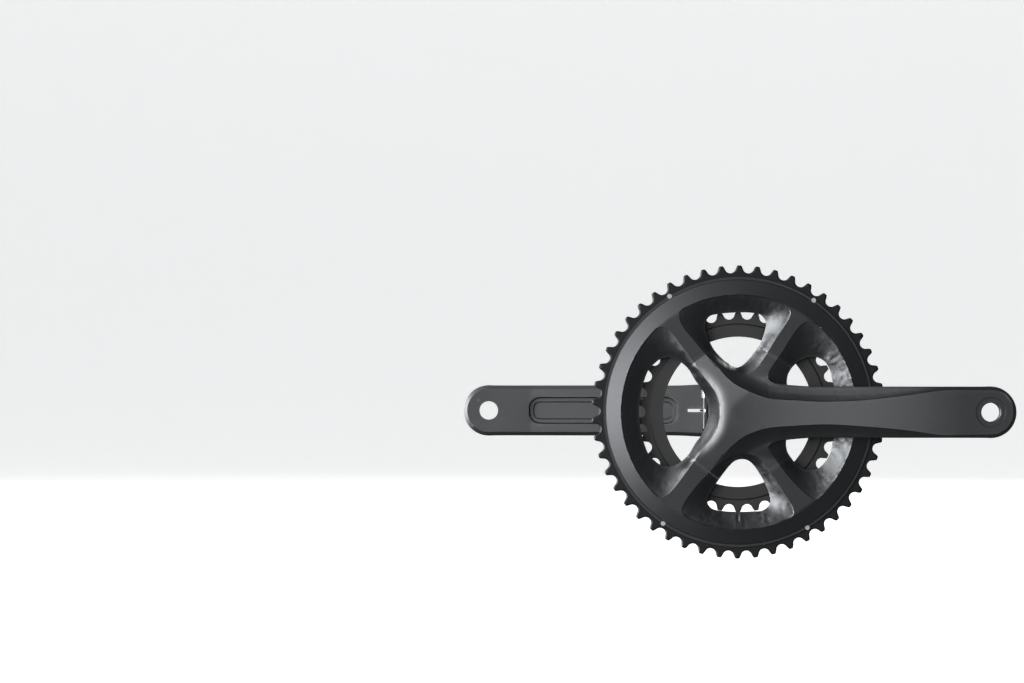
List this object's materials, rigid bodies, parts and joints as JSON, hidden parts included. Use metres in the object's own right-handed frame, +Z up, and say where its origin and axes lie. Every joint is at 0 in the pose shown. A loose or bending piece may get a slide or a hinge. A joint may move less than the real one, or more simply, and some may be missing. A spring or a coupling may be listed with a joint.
{
  "type": "bicycle crankset",
  "caption": "Two-ring road bicycle crankset: right arm with four-arm spider, hollow spindle in a threaded bottom bracket, split left arm.",
  "frame": {"origin": "crank axis at the middle of the bicycle's bottom bracket shell", "axes": "+X forward along the right crank arm, +Z up, -Y outboard on the drive side, so the crank axis is Y and the left arm points along -X"},
  "size_m": [0.386, 0.15, 0.2052],
  "materials": {
    "crank_alloy": "satin grey anodised, bead-blasted under the dye",
    "outer_ring_alloy": "black anodised, satin cone and matt teeth",
    "inner_ring_alloy": "matt dark grey anodised",
    "cup_alloy": "black anodised, turned",
    "spindle_steel": "ground steel with a light oil film",
    "bearing_steel": "polished bearing steel",
    "bolt_steel": "blackened steel worn bright at the sockets",
    "pin_steel": "bright turned steel",
    "seal_rubber": "black nitrile",
    "dark_plastic": "black moulded plastic",
    "cage_plastic": "brown moulded cage"
  },
  "bodies": {
    "bottom_bracket": {"right_bearing_cup": "cup_alloy", "left_bearing_cup": "cup_alloy", "bearing_sleeve": "dark_plastic", "right_bearing_outer_race": "bearing_steel", "left_bearing_outer_race": "bearing_steel", "right_bearing_seals": "seal_rubber", "left_bearing_seals": "seal_rubber"},
    "crank": {"right_crank_arm": "crank_alloy", "crank_spindle": "spindle_steel", "right_bearing_inner_race": "bearing_steel", "left_bearing_inner_race": "bearing_steel", "right_dust_cover": "dark_plastic", "left_dust_cover": "dark_plastic", "outer_chainring": "outer_ring_alloy", "inner_chainring": "inner_ring_alloy", "chainring_bolts": "bolt_steel", "chain_drop_pin": "pin_steel", "shift_pins": "pin_steel", "left_crank_arm": "crank_alloy", "clamp_bolts": "bolt_steel", "clamp_washers": "bolt_steel", "preload_cap": "dark_plastic"},
    "right_ball_set": {"right_bearing_balls": "bearing_steel", "right_ball_cage": "cage_plastic"},
    "left_ball_set": {"left_bearing_balls": "bearing_steel", "left_ball_cage": "cage_plastic"},
    "stopper": {"stopper_plate": "dark_plastic"}
  },
  "joints": [
    {"name": "crank_spin", "type": "hinge", "parent": "bottom_bracket", "child": "crank", "pos_m": [0, 0, 0], "axis": [0, 1, 0], "continuous": true},
    {"name": "right_ball_spin", "type": "hinge", "parent": "bottom_bracket", "child": "right_ball_set", "pos_m": [0, -0.0415, 0], "axis": [0, 1, 0], "continuous": true},
    {"name": "left_ball_spin", "type": "hinge", "parent": "bottom_bracket", "child": "left_ball_set", "pos_m": [0, 0.0415, 0], "axis": [0, 1, 0], "continuous": true},
    {"name": "stopper_plate_swing", "type": "hinge", "parent": "crank", "child": "stopper", "pos_m": [-0.0195, 0.06075, 0], "axis": [0, 0, -1], "range_deg": [0, 20]}
  ],
  "couplings": [
    {"joint": "right_ball_spin", "follows": "crank_spin", "ratio": 0.436},
    {"joint": "left_ball_spin", "follows": "crank_spin", "ratio": 0.436}
  ]
}
